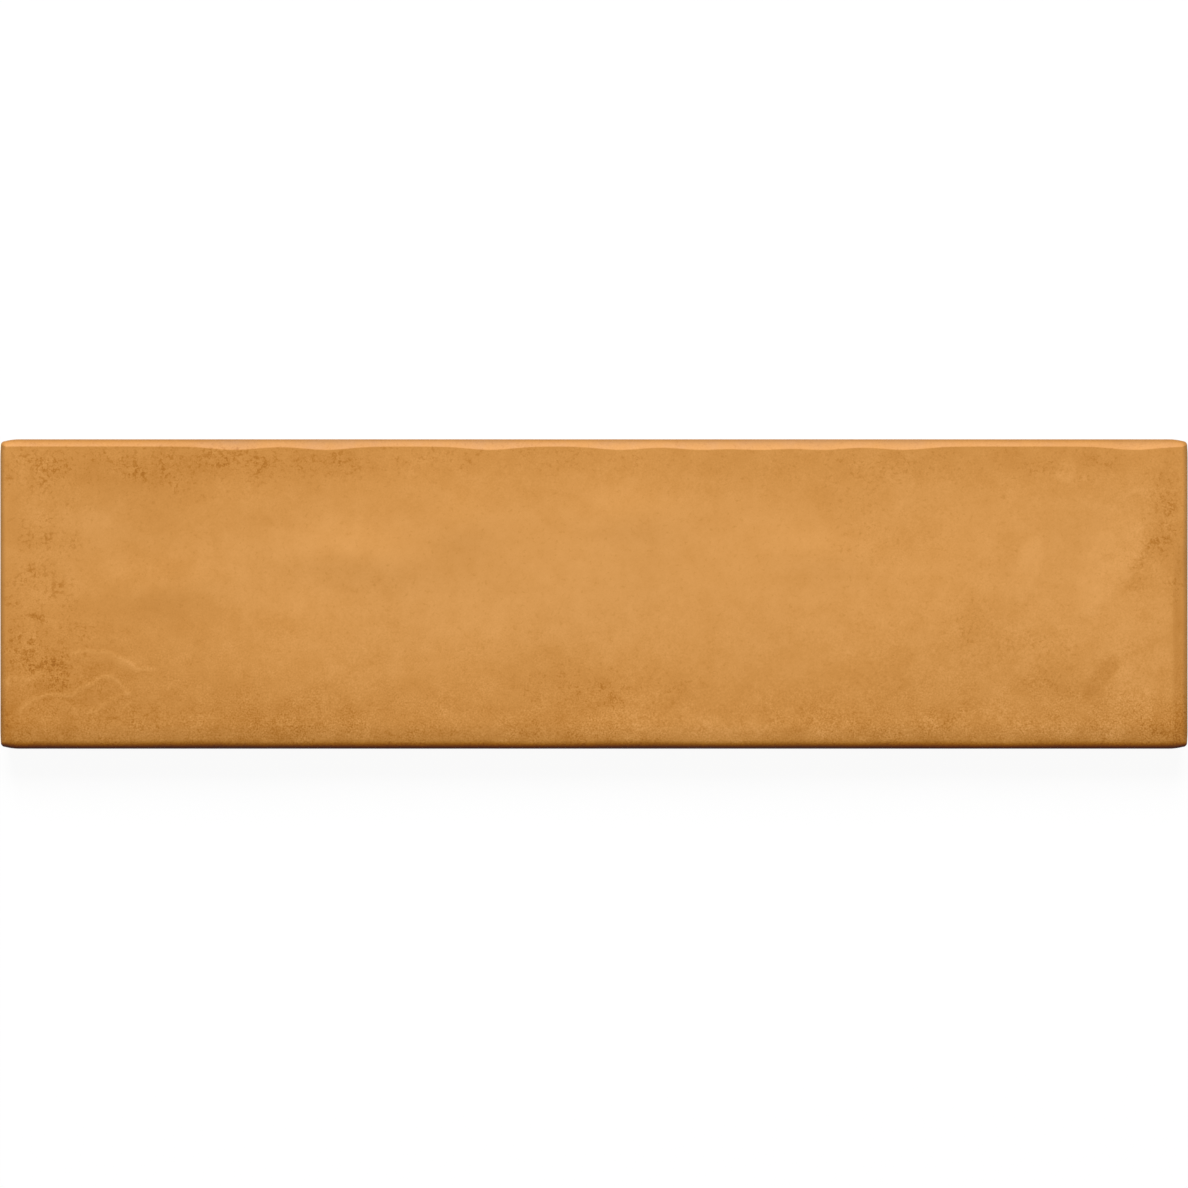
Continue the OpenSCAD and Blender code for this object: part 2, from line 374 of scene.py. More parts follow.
# Thin ridges pushed up beside them: points along the ridge, half width, levels lighter, height. Their
# lighter line is a painted highlight along the ridge
RIDGES = (
    (((-109.5, -13.2), (-107.0, -12.0), (-101.2, -12.2), (-98.2, -14.0), (-95.6, -15.3), (-92.5, -15.8)),
     0.5, 9, 0.012),
    (((-120.9, -24.6), (-117.2, -21.9), (-113.1, -21.3), (-109.9, -21.3), (-106.6, -19.2),
      (-103.3, -17.6), (-100.8, -17.6), (-98.8, -19.0), (-97.3, -20.9)), 0.45, 13, 0.015),
    (((-97.3, -20.9), (-99.8, -21.6), (-102.4, -22.4), (-104.6, -23.8), (-106.4, -25.0)), 0.42, 7, 0.01),
    (((-124.0, -18.2), (-121.0, -17.6), (-117.5, -17.5), (-115.0, -17.2)), 1.0, 7, 0.01),
    (((109.4, 21.8), (112.0, 20.9), (115.0, 21.3), (116.4, 24.0), (115.2, 27.2)), 0.8, 3, 0.01),
)
# The glaze from the lower long side to the upper: share of the half width, levels lighter
TONE_ACROSS = (
    (-1.0, -10), (-0.94, -6), (-0.9, -7), (-0.86, -5), (-0.74, -4), (-0.6, -1), (-0.44, 2.7), (-0.25, 6),
    (0, 7.3), (0.3, 7), (0.55, 5), (0.68, 3), (0.8, 0), (0.93, -1), (0.97, -7), (1, -9),
)
FACET_SHADE = -9         # levels lighter on the worn facet, a painted shade of its tilt away from the key light
HAZE_TONE = -3          # levels lighter where the speckles are densest
# Clouds in the glaze, and painted light and shade on the lit and shaded sides of the swells and near the
# ends: centre, half length, half width, heading, levels lighter
CLOUDS_AND_SHADING = (
    # Left-hand end
    (-124.5, -26, 4, 8, 0, -9), (-124, 4, 4, 22, 0, -4), (-123, 29, 4, 3, 0, 7),
    (-122.5, 14.5, 2.5, 3, 0, -6), (-120.5, -14, 3, 6, 0, 6), (-116, 28, 4, 2.5, 0, 4),
    (-113, 0, 6, 3, 0, 3), (-112, -14, 26, 17, 8, -9), (-112, 6, 20, 14, 0, -2),
    (-104, 29.5, 4, 1.5, 0, 4), (-103, 16, 6, 3, 0, 3), (-102, -11, 6, 1.6, 0, -4),
    # Right-hand end
    (106, 28, 5, 2.5, 0, -3), (107, 18, 5, 2.5, 0, 4), (107, -28.5, 4, 1.2, 0, 6),
    (112, -1, 3, 5, 0, 3), (113, -14, 5, 10, 0, 4), (113.5, 1.5, 4, 4, -40, -5),
    (114, -24, 6, 4, 0, 4), (114, -5, 6, 6, 0, -4), (118, -21, 2.5, 4, 0, 4),
    (118, -28, 3, 1.5, 0, -5), (118, 10, 2.5, 3, 0, 4), (118.5, 8, 3.0, 4, 0, -2),
    (118.5, -26.5, 4, 2.5, 0, -5), (118.5, 11, 4, 8, 0, -3), (119.5, 16, 2.6, 10, 0, -5),
    (122, 8, 2.5, 5, 0, -6), (122.2, -5, 1.8, 9, 0, -5), (122.5, 20, 1.5, 8, 0, -3),
    (123, -27, 2.5, 4, 0, -4),
    # Along the upper side
    (-98, 26, 3, 2, 0, 5), (-92, 27, 26, 6.5, -3, -6), (-84, 26, 6, 3, 0, -4),
    (-80, 29, 3, 1.5, 0, 4), (-60, 28, 16, 3.5, 2, -4), (-50, 27.5, 5, 2.5, 0, -3),
    (-35, 26, 8, 6, 0, 1), (-30, 24, 14, 4, 0, -2), (64, 24.5, 16, 2.5, 0, 3),
    (96, 28, 14, 3, 0, -4),
    # Along the lower side
    (-71, -28, 8, 3.5, 0, -9), (-62, -26, 4, 1.5, 0, -4), (-42, -29.5, 10, 2.5, 0, -4),
    (-9, -28, 7, 2.5, 0, -5), (7, -28.5, 4, 1.2, 0, 6), (11, -28.5, 4, 1.5, 0, 5),
    (24, -29, 13, 3, 0, 8), (34, -28.5, 6, 1.5, 0, 5), (46, -28.5, 3, 1.2, 0, 5),
    (57, -28, 4, 2, 0, 4), (64, -28.5, 3, 1.2, 0, 4), (86, -28.5, 5, 1.2, 0, 4),
    (92, -26, 8, 3, 0, 3), (98, -28, 6, 1.5, 0, 4),
    # Left of the middle
    (-99, 3, 9, 4, 2, 2), (-96, 19, 12, 6, -24, -4), (-96, 8, 5, 2.5, 0, -4),
    (-89, -3, 15, 4.5, -4, -7), (-89, 5.5, 6, 3, 0, -5), (-88, 15, 10, 4, 0, -4),
    (-86, 20.5, 8, 2.5, 0, -3), (-86, 4, 4, 2, 0, -3), (-82, -9, 10, 4, 0, -2),
    (-76, -20, 7, 8, 0, -4), (-74, 15, 6, 4, 0, -3), (-73, 20, 9, 3.5, 4, 1),
    (-68, 16, 8, 1.8, 0, -4), (-66, -6, 8, 3, 0, -3), (-65, 7, 6, 2.5, 0, 4),
    (-58, 22, 10, 4, 0, -3), (-52, 12, 16, 4.0, -5, 2), (-50, 3.5, 12, 2.6, -4, -2),
    (-44, 16.5, 5, 2.5, 0, -4), (-44, -17, 12, 3.5, 4, 3), (-36, 19, 6, 4, 0, -3),
    (-36, -18, 8, 3, 0, -2), (-34, -2, 6, 4, 0, 4), (-30, 9, 5, 3.0, 20, -3),
    # Middle
    (-24, -6, 8, 5, 0, 3), (-21, 0.6, 5, 2.2, 0, -1), (-10, -17, 10, 4, -3, -4),
    (-2, 1, 16, 13, 0, 3), (4, -20, 9, 4, 5, -4), (8, 14, 4, 2.6, 10, -2), (18, -20, 4, 3, 0, -3),
    (18, 18, 12, 4, 0, 2), (29, -19, 4, 3, 0, 3),
    # Right of the middle
    (45, 9.5, 9, 3, -6, 2), (46, 4.5, 7, 2.5, 0, -1), (51, 20, 6, 6, 0, -3),
    (52, -21, 10, 5, 0, -2), (57, 10, 7, 4, 30, -1), (63, -16, 4, 4, -20, -3),
    (68, 12, 7, 3.5, 0, -4), (76, 11, 10, 7, 0, -1), (77, -8, 3, 4, 0, 4), (78, -6, 5, 6, 0, -4),
    (78, -19, 9, 5, 0, 4), (84, 2, 20, 9, 0, -2), (84, -8, 6, 5, -25, -3), (88, -21.5, 4, 3, 0, 5),
    (95, -19, 4, 3, -10, -5),
)
# Clusters of ragged speckles: centre, half length, half width, heading, density
SPECK_CLUSTERS = (
    # Left-hand end
    (-124.3, 1, 1.2, 1.6, 0, 0.7), (-122.5, -2.5, 1.6, 2.0, 0, 0.65),
    (-121.8, 25.3, 1.6, 1.6, 0, 0.6), (-121.5, -7.5, 1.5, 1.5, 0, 0.5),
    (-121, -11, 2.6, 3.4, 0, 0.5), (-120.7, 2.5, 1.5, 1.5, 0, 0.6), (-120.1, 15, 1.8, 1.2, 0, 0.45),
    (-119.3, 12, 1.8, 2.0, 0, 0.65), (-119, 28.7, 3, 1.6, 0, 0.4), (-118, -13, 3.4, 3.2, -30, 0.7),
    (-117.5, 4.6, 1.8, 1.8, 0, 0.9), (-117, 4, 7, 26, 0, 0.35), (-117, -4.8, 2.2, 1.5, 0, 1.2),
    (-116.7, 22.8, 1.8, 2.0, 0, 0.7), (-115.5, -19, 4.0, 1.2, 5, 0.5),
    (-115.4, 15.6, 2.0, 1.4, 0, 0.45), (-115.4, 11.2, 2.2, 2.0, 0, 0.9),
    (-114, -14, 10, 9, -20, 0.3), (-113.5, 27.2, 4.4, 2.6, -8, 0.9),
    (-113, -16.3, 3.8, 3.0, -20, 0.9), (-112.6, 1.5, 2.8, 2.2, -30, 1.0),
    (-110, 18, 3, 1.5, 0, 0.45), (-109.6, 11.6, 1.8, 1.6, 0, 0.65),
    (-109.6, -2.8, 1.6, 1.2, 0, 0.5), (-109, -7, 3.5, 1.6, 0, 0.4), (-105.3, 29.3, 2, 1.4, 0, 0.4),
    (-104, -9, 6, 3, 0, 0.25),
    # Right-hand end
    (103.5, 24, 3.0, 1.6, 0, 0.4), (106, 28, 4, 2, 0, 0.5), (108, -27.5, 5, 2, 0, 0.3),
    (113.5, 1.5, 3.0, 1.8, 20, 0.5), (114.8, 6.6, 2.2, 1.5, 20, 0.7), (117, -27, 6, 2.6, 0, 0.6),
    (118, 14, 5, 14, 0, 0.3), (119.6, 11, 3.0, 3.0, 0, 0.7), (120.8, 20, 3.0, 8, 0, 0.6),
    (122.8, 2, 1.6, 4, 0, 0.8),
    # Along the upper side
    (-99.5, 28.4, 4.0, 2.4, 0, 0.5), (-96.5, 25.6, 2.4, 1.4, 0, 0.5),
    (-90.5, 26.5, 3.4, 2.6, -20, 0.45), (-87.5, 22.5, 2.0, 3.6, 10, 0.65),
    (-87, 27.5, 32, 5, 0, 0.5), (-81, 29, 3.0, 1.5, 0, 0.6), (-77, 27.5, 3.0, 2.2, 0, 0.45),
    (-70.5, 27, 3.0, 2.6, 0, 0.55), (-62, 28, 5, 2.2, 0, 0.45), (-52, 27.5, 5, 2.8, 0, 0.65),
    (-36, 29, 10, 2.0, 0, 0.3), (-25, 28, 3, 2.0, 0, 0.4), (-10, 29, 50, 3, 0, 0.2),
    (-9, 28.5, 7, 2.2, 0, 0.4), (9, 27.5, 1.6, 2.0, 0, 0.5), (66, 27, 7, 2, 0, 0.3),
    (75, 27, 40, 4, 0, 0.25), (93, 27, 4, 2, 0, 0.4),
    # Along the lower side
    (50, -26, 12, 3, 0, 0.35),
    # Left of the middle
    (-94, 4.5, 5, 2, 0, 0.25), (-60, 4, 9, 2, 0, 0.2), (-44, 1, 5, 2.5, 0, 0.2),
    # Middle
    (-6, -19, 9, 4, 0, 0.35), (4, -19, 26, 6, 0, 0.15), (5, -21, 4, 3.4, 0, 0.6),
    (17, -20, 3, 2, 0, 0.5),
    # Right of the middle
    (54, 22, 5, 7, 0, 0.35), (56, 11, 8, 4, 20, 0.25), (62, -16, 4, 4, 0, 0.3),
    (79, -7, 3.0, 4.5, -25, 0.55), (84, -9, 24, 8, -15, 0.2), (91, -10, 4, 2, 0, 0.45),
    (95, -19, 5, 3, -10, 0.5), (99, -12, 4, 3, 0, 0.4),
)
# The coat's grain from the lower long side to the upper: share of the half width, share of its depth
GRAIN_ACROSS = (
    (-1, 0.7), (-0.86, 0.65), (-0.71, 0.48), (-0.49, 0.25), (-0.28, 0.14), (0, 0.03), (0.37, 0.01),
    (0.58, 0.06), (0.8, 0.13), (1, 0.1),
)
# Where it is grainier or smoother than that: centre, half length, half width, heading, share
GRAIN_PATCHES = (
    (-62, -27, 12, 5, 0, 0.2), (5, -25, 6, 5, 0, 0.3), (24, -26, 12, 6, 0, -0.2),
    (70, -28, 26, 5, 0, 0.15), (114, -28, 10, 5, 0, 0.42), (-116, 0, 7, 30, 0, 0.12),
    (-88, 0, 30, 25, 0, 0.06), (88, 2, 26, 20, 0, 0.08), (20, -19, 60, 5, 0, -0.1),
    (114, 5, 7, 20, 0, 0.16), (119, 17, 5, 9, 0, 0.14), (36, -15, 14, 6, 0, -0.1),
    (66, 11, 8, 5, 0, 0.15),
)
# Noises over the face: size of their largest clouds, octaves, seed
BEND_X = (9, 3, 11.3)
BEND_Y = (9, 3, 47.9)
SPECK_CLUMPS = (4.2, 3, 21.7)
GRAIN_CLUMPS = (5, 3, 33.1)
LOOSE_CLOUDS = (14, 5, 3.1)
CLOUD_RAGGED = 2.2      # how far the first two bend the clouds' outlines
SPECK_RAGGED = 1.2      # how far they bend the clusters'
MARK_RAGGED = 0.8       # how far they bend the finger marks'
SPECK_MEAN = 0.95       # share of a cluster's density that it has between its clumps and gaps
SPECK_SPREAD = 0.5      # how much more and less it has in them
MOST_SPECKS = 1.1
GRAIN_SPREAD = 0.7      # how much more and less grain there is in its clumps and gaps
SPECK_GRAIN = 0.2       # grain that the densest speckles bring with them
LOOSE_TONE = 1.3        # levels lighter or darker in the loose clouds
FACET_STEP = 4          # how many times sooner the worn facet has its painted shade than its depth
TONE_UNIT = 100         # the tone attribute holds this many levels of colour as 1


def leaf_share(x, y, centre_x, centre_y, half_length, half_width, heading, taper, softness):
    """1 inside a leaf-shaped mark, easing to 0 at its outline."""
    along, across = turned(x, y, centre_x, centre_y, heading)
    t = np.clip(along / half_length, -1, 1)
    outline = half_width * np.sqrt(1 - t * t) * (1 + taper * t)
    return ease_step((outline - np.abs(across)) / softness + 0.5) * (np.abs(along) < half_length)


def ridge_share(x, y, points, half_width):
    """1 on a ridge's line, falling softly to both sides and at its ends."""
    nearest = np.full_like(x, np.inf)
    for (ax, ay), (bx, by) in zip(points, points[1:]):
        run = math.hypot(bx - ax, by - ay)
        t = np.clip(((x - ax) * (bx - ax) + (y - ay) * (by - ay)) / run ** 2, 0, 1)
        nearest = np.minimum(nearest, np.hypot(x - ax - t * (bx - ax), y - ay - t * (by - ay)))
    return np.exp(-((nearest / half_width) ** 2))


def glaze_marks(s, x, y):
    """Relief of the finger marks, and the glaze's tone with its painted light and shade, speckles and
    grain, at places on the face.
    """
    bend_x = cloudy(x, y, *BEND_X)
    bend_y = cloudy(x, y, *BEND_Y)
    across = y / s.half_width
    face = ease_step((s.half_width - np.abs(y)) / s.roll_width)

    specks = soft_patches(x + SPECK_RAGGED * bend_x, y + SPECK_RAGGED * bend_y, SPECK_CLUSTERS)
    specks *= SPECK_MEAN + SPECK_SPREAD * cloudy(x, y, *SPECK_CLUMPS)
    specks = face * np.clip(specks, 0, MOST_SPECKS)

    grain = np.interp(across, *zip(*GRAIN_ACROSS)) + soft_patches(x, y, GRAIN_PATCHES)
    grain *= 1 + GRAIN_SPREAD * cloudy(x, y, *GRAIN_CLUMPS)
    grain = np.clip(grain + SPECK_GRAIN * specks, 0, 1)

    tone = np.interp(across, *zip(*TONE_ACROSS)) + HAZE_TONE * specks
    # Clouds in the glaze, with painted light and shade on the lit and shaded sides of the swells and near
    # the ends
    tone += soft_patches(x + CLOUD_RAGGED * bend_x, y + CLOUD_RAGGED * bend_y, CLOUDS_AND_SHADING)
    tone += LOOSE_TONE * cloudy(x, y, *LOOSE_CLOUDS)
    # Painted shade on the worn facet
    tone += FACET_SHADE * np.minimum(1, FACET_STEP * facet(s, x, y) / s.facet_drop)
    relief = np.zeros_like(x)
    # The marks' lighter levels are painted reflections and highlights, and their darker ones painted shade
    # between the ridges
    for mark_share, marks in ((leaf_share, LEAVES), (ridge_share, RIDGES)):
        for *form, lighter, height in marks:
            inside = mark_share(x + MARK_RAGGED * bend_x, y + MARK_RAGGED * bend_y, *form)
            tone += lighter * inside
            relief += height * inside
    return relief, {"tone": tone / TONE_UNIT, "speck": specks, "grain": grain}


# ---------------------------------------------------------------- mesh of the tile


def lines(stops):
    """Places of the mesh's lines, from stop to stop, each with the spacing up to the next stop."""
    runs = []
    for (start, step), (end, _) in zip(stops, stops[1:]):
        runs.append(np.linspace(start, end, max(1, round((end - start) / step)), endpoint=False))
    return np.append(np.concatenate(runs), stops[-1][0])


def face_lines(s):
    """Lines across and along the face, close together at its creases and under the finger marks."""
    facet_line = s.crease_x - s.facet_width
    columns = lines((
        (-s.crease_x, CREASE_STEP), (-s.crease_x + CREASE_REACH, FACE_STEP),
        (FINE_COLUMNS[0] * s.half_length, FINE_STEP), (FINE_COLUMNS[1] * s.half_length, FACE_STEP),
        (facet_line - CREASE_REACH, CREASE_STEP), (facet_line + CREASE_REACH, FACE_STEP),
        (s.crease_x - CREASE_REACH, CREASE_STEP), (s.crease_x, 0),
    ))
    rows = lines((
        (-s.crease_y, CREASE_STEP), (-s.crease_y + CREASE_REACH, FACE_STEP),
        (FINE_ROWS[0] * s.half_width, FINE_STEP), (FINE_ROWS[1] * s.half_width, FACE_STEP),
        (s.crease_y - CREASE_REACH, CREASE_STEP), (s.crease_y, 0),
    ))
    return columns, rows


def outline_stations(s, columns, rows):
    """Once round the tile from its lower left corner: column, row, share of each half size, heading."""
    end = len(columns) - 1
    top = len(rows) - 1
    share_x = columns / s.crease_x
    share_y = rows / s.crease_y
    turn = [90 * step / CORNER_STEPS for step in range(CORNER_STEPS + 1)]
    stations = [(i, 0, share_x[i], -1, -90) for i in range(1, end)]
    stations += [(end, 0, 1, -1, -90 + t) for t in turn]
    stations += [(end, j, 1, share_y[j], 0) for j in range(1, top)]
    stations += [(end, top, 1, 1, t) for t in turn]
    stations += [(i, top, share_x[i], 1, 90) for i in range(end - 1, 0, -1)]
    stations += [(0, top, -1, 1, 90 + t) for t in turn]
    stations += [(0, j, -1, share_y[j], 180) for j in range(top - 1, 0, -1)]
    stations += [(0, 0, -1, -1, 180 + t) for t in turn]
    column, row, x, y, heading = (np.array(part) for part in zip(*stations))
    return SimpleNamespace(column=column, row=row, x=x, y=y, heading=np.radians(heading))


def drawn_in(s, share_of_side, half_side):
    """How far a side is drawn in along its length: 1 at its corners, easing to 0 before its middle."""
    return np.maximum(0, 1 - (1 - np.abs(share_of_side)) * half_side / s.ease_length) ** 2


def upright_outline(s, stations, inset):
    """Places of the tile's upright outline, drawn in all round by an inset."""
    end_inset = inset + s.corner_radius + s.end_ease * drawn_in(s, stations.y, s.half_width)
    side_inset = inset + s.corner_radius + s.corner_ease * drawn_in(s, stations.x, s.half_length)
    x = stations.x * (s.half_length - end_inset) + s.corner_radius * np.cos(stations.heading)
    y = stations.y * (s.half_width - side_inset) + s.corner_radius * np.sin(stations.heading)
    return x, y


def roll_ring(s, stations, crease, t):
    """One ring of the rolled edge, from 0 on the crease to 1 where it meets the upright side."""
    side_x, side_y = upright_outline(s, stations, CLEARANCE)
    out = t * (2 - t)
    width = np.hypot(side_x - crease[:, 0], side_y - crease[:, 1])
    slope = PLAIN_SLOPE + (CREASE_SLOPE - PLAIN_SLOPE) * ease_step(np.sin(stations.heading))
    fall = np.minimum(width * np.tan(slope), MOST_FALL * (crease[:, 2] - s.side_top))
    x = crease[:, 0] + (side_x - crease[:, 0]) * out
    y = crease[:, 1] + (side_y - crease[:, 1]) * out
    z = (1 - t) ** 2 * crease[:, 2] + 2 * t * (1 - t) * (crease[:, 2] - fall) + t * t * s.side_top
    return np.stack([x, y, z], 1)


def side_profile(s, line):
    """Down the side: the glaze coat and its rounded lip, then the bare clay and its rounded foot.
    Each step is a height, and how far in it lies from the drafted side."""
    coat_depth = s.glaze_coat
    glazed = [(s.side_top + (line - s.side_top) * part, 0) for part in GLAZED_STEPS]
    glazed += [(line + over * coat_depth, inward * coat_depth) for over, inward in COAT_LIP]
    bare = [(line, coat_depth), (line - LIP_REACH, coat_depth)]
    bare += [(line + (s.back_chamfer - line) * part, coat_depth) for part in BARE_STEPS]
    for turn in ROUND_TURNS:
        lift = s.back_chamfer * (1 - math.sin(turn))
        bare.append((lift, coat_depth + s.back_chamfer * (1 - math.cos(turn))))
    return glazed, bare


def side_rings(s, stations):
    """Rings down the side and round its foot, and how many of them are glazed."""
    x, y = upright_outline(s, stations, 0)
    inner_x, inner_y = upright_outline(s, stations, 1)
    bends = cloudy(x, y, *LINE_BENDS) + NICK_SHARE * cloudy(x, y, *LINE_NICKS)
    line = s.glaze_line + s.glaze_wander * bends
    glazed, bare = side_profile(s, line)
    rings = []
    for height, inward in glazed + bare:
        z = height + np.zeros_like(x)
        lean = s.side_draft * (s.side_top - z) / (s.side_top - s.back_chamfer)
        on_clay = np.clip((line - z) / LIP_REACH, 0, 1) * np.clip(z / s.back_chamfer, 0, 1)
        grit = CLAY_GRIT * on_clay * (1 + cloudy(x + z, y - z, *CLAY_GRAINS))
        inset = CLEARANCE + np.maximum(0, lean) + inward + grit
        rings.append(np.stack([x + (inner_x - x) * inset, y + (inner_y - y) * inset, z], 1))
    return rings, len(glazed)


def pocket_profile(s):
    """From a pocket's rounded mouth to its bed: height, and how far it lies out from the pocket's size."""
    floor = s.pocket_depth - POCKET_ROUND
    lean = s.pocket_draft * floor / s.pocket_depth
    rise = [POCKET_ROUND * math.sin(turn) for turn in ROUND_TURNS]
    run = [POCKET_ROUND * (1 - math.cos(turn)) for turn in ROUND_TURNS]
    mouth = [(inward, POCKET_ROUND - up) for inward, up in zip(run, rise)]
    foot = [(floor + up, -lean - inward) for inward, up in zip(run, rise)]
    return mouth + foot


def pocket_rings(s):
    """The rings of every pocket in the back, each pocket from its mouth to its bed."""
    pitch = s.pocket_size + s.rib_width
    span_x = s.tile_length - 2 * s.rim_width + s.rib_width
    span_y = s.tile_width - 2 * s.rim_width + s.rib_width
    across = 2 * round(span_x / pitch / 2)
    up = round(span_y / pitch)
    straight_x = (span_x / across - s.rib_width) / 2 - s.pocket_radius
    straight_y = (span_y / up - s.rib_width) / 2 - s.pocket_radius
    turns = np.radians(90) * np.arange(POCKET_CORNER_STEPS + 1) / POCKET_CORNER_STEPS
    heading = np.concatenate([np.radians(90 * corner) + turns for corner in range(4)])
    side_x = straight_x * np.repeat((1, -1, -1, 1), len(turns))
    side_y = straight_y * np.repeat((1, 1, -1, -1), len(turns))
    pockets = []
    for i in range(across):
        for j in range(up):
            centre_x = (i - (across - 1) / 2) * span_x / across
            centre_y = (j - (up - 1) / 2) * span_y / up
            rings = []
            for height, outward in pocket_profile(s):
                radius = s.pocket_radius + outward
                x = centre_x + side_x + radius * np.cos(heading)
                y = centre_y + side_y + radius * np.sin(heading)
                rings.append(np.stack([x, y, np.full_like(x, height)], 1))
            pockets.append(rings)
    return pockets


def band(upper, lower):
    """Faces between two closed rings of vertices, as triangles where two of the upper ring's are one."""
    faces = []
    for a, b, c, d in zip(upper, np.roll(upper, -1), np.roll(lower, -1), lower):
        faces.append((a, b, c, d) if a != b else (a, c, d))
    return faces


class Shell:
    """The tile's mesh while it is put together: points, and faces with their material and shading."""

    def __init__(self):
        self.points = []
        self.count = 0
        self.faces = []
        self.slots = []
        self.smooth = []

    def add_points(self, points):
        """Adds points and returns their indices."""
        self.points.append(points)
        self.count += len(points)
        return np.arange(self.count - len(points), self.count)

    def add_faces(self, faces, slot, smooth=True):
        """Adds faces with one material and shading."""
        self.faces += faces
        self.slots += [slot] * len(faces)
        self.smooth += [smooth] * len(faces)


# Material slots of the tile's mesh
GLAZE, CLAY = 0, 1


def tile_shell(s):
    """The closed shell of the tile, and the attributes that its finishes read."""
    columns, rows = face_lines(s)
    u, v = np.meshgrid(columns, rows, indexing="ij")
    x, y = wandering(s, u, v)
    marks, _ = glaze_marks(s, x, y)
    z = face_relief(s, u, v) - facet(s, u, v) + marks
    z += s.top - CLEARANCE - z.max()
    shell = Shell()
    grid = shell.add_points(np.stack([x, y, z], -1).reshape(-1, 3)).reshape(x.shape)
    corners = [grid[:-1, :-1], grid[1:, :-1], grid[1:, 1:], grid[:-1, 1:]]
    shell.add_faces(list(zip(*(corner.ravel() for corner in corners))), GLAZE)

    stations = outline_stations(s, columns, rows)
    upper = grid[stations.column, stations.row]
    crease = np.stack([x, y, z], -1)[stations.column, stations.row]
    rings = [roll_ring(s, stations, crease, t) for t in ROLL_STEPS]
    down, glazed = side_rings(s, stations)
    # Along the lower crease the glaze begins to run together, darker and browner, partly as painted shade;
    # the face carries none of the painted shade of the other rolled edges
    pool_and_shade = [FACE_POOL_AND_SHADE * np.clip(1 - (y.ravel() + s.crease_y) / POOL_AND_SHADE_REACH, 0, 1) ** 2]
    rim_shade = [np.zeros(grid.size)]
    steps = [*ROLL_STEPS, *[1] * len(down)]
    for index, (t, ring) in enumerate(zip(steps, rings + down)):
        lower = shell.add_points(ring)
        shell.add_faces(band(upper, lower), GLAZE if index < len(rings) + glazed else CLAY)
        # The second value is the painted shade along the upper and end rolled edges
        pooled_and_shaded, worn = coat(s, stations, t, ring)
        pool_and_shade.append(pooled_and_shaded)
        rim_shade.append(worn)
        upper = lower

    for rings in pocket_rings(s):
        upper = shell.add_points(rings[0])
        for ring in rings[1:]:
            lower = shell.add_points(ring)
            shell.add_faces(band(upper, lower), CLAY)
            upper = lower
        shell.add_faces([tuple(upper)], CLAY, smooth=False)

    points = np.concatenate(shell.points)
    _, attributes = glaze_marks(s, points[:, 0], points[:, 1])
    back = np.zeros(len(points) - sum(map(len, pool_and_shade)))
    attributes["pool_and_shade"] = np.concatenate(pool_and_shade + [back])
    attributes["rim_shade"] = np.concatenate(rim_shade + [back])
    attributes["wash"] = np.clip(1 - points[:, 2] / s.pocket_depth, 0, 1)
    return shell, points, attributes


def coat(s, stations, t, ring):
    """How far the glaze ran together, partly painted shade on the lower side, and how strong the painted
    shade is on the other rolled edges, on a ring of the rolled edge or side.
    """
    # 1 on the lower side, away from the key light, where the darkening is partly painted shade
    low = np.maximum(0, -np.sin(stations.heading))
    side = ease_step((s.side_top - ring[:, 2]) / SIDE_FADE)
    under = ease_step((t - UNDER_START) / (1 - UNDER_START))
    pool_and_shade = min(MOST_POOL_AND_SHADE, (POOL_AND_SHADE_GROWTH * t) ** POOL_AND_SHADE_POWER) * (1 - UNDER_LESS * under)
    pool_and_shade = max(FACE_POOL_AND_SHADE, pool_and_shade) * low
    # Painted shade on the upper and end rolled edges, coming on towards their outer edge and fading down
    # the side
    end = np.abs(np.cos(stations.heading))
    rim_shade = (t / RIM_SHADE_START) ** (RIM_SHADE_POWER - END_SOONER * end)
    rim_shade = np.minimum(MOST_RIM_SHADE - END_LESS * end, rim_shade) * (1 - low)
    return pool_and_shade + (SIDE_POOL_AND_SHADE - pool_and_shade) * side, rim_shade * (1 - side)


def fill_back(mesh):
    """Closes the bonding plane between the outline and the mouths of the pockets."""
    made = bmesh.new()
    made.from_mesh(mesh)
    before = set(made.faces)
    rims = [edge for edge in made.edges if edge.is_boundary]
    bmesh.ops.triangle_fill(made, use_beauty=True, use_dissolve=False, edges=rims, normal=(0, 0, -1))
    for face in made.faces:
        if face not in before:
            face.material_index = CLAY
            face.smooth = False
    bmesh.ops.recalc_face_normals(made, faces=made.faces)
    open_edges = sum(not edge.is_manifold for edge in made.edges)
    triangles = sum(len(face.verts) - 2 for face in made.faces)
    made.to_mesh(mesh)
    made.free()
    if open_edges:
        raise RuntimeError(f"the tile's mesh has {open_edges} open edges")
    if triangles > MOST_TRIANGLES:
        raise RuntimeError(f"the tile's mesh has {triangles} triangles")
    print("tile mesh:", triangles, "triangles")


def tile_mesh(s):
    """The tile's closed mesh, in metres, with the attributes that its finishes read."""
    shell, points, attributes = tile_shell(s)
    mesh = bpy.data.meshes.new("glazed_tile")
    mesh.from_pydata(points * MM, [], [tuple(map(int, face)) for face in shell.faces])
    mesh.polygons.foreach_set("material_index", shell.slots)
    mesh.polygons.foreach_set("use_smooth", shell.smooth)
    for name, values in attributes.items():
        mesh.attributes.new(name, "FLOAT", "POINT").data.foreach_set("value", values.astype(np.float32))
    fill_back(mesh)
    mesh.validate()
    return mesh


# ---------------------------------------------------------------- finishes

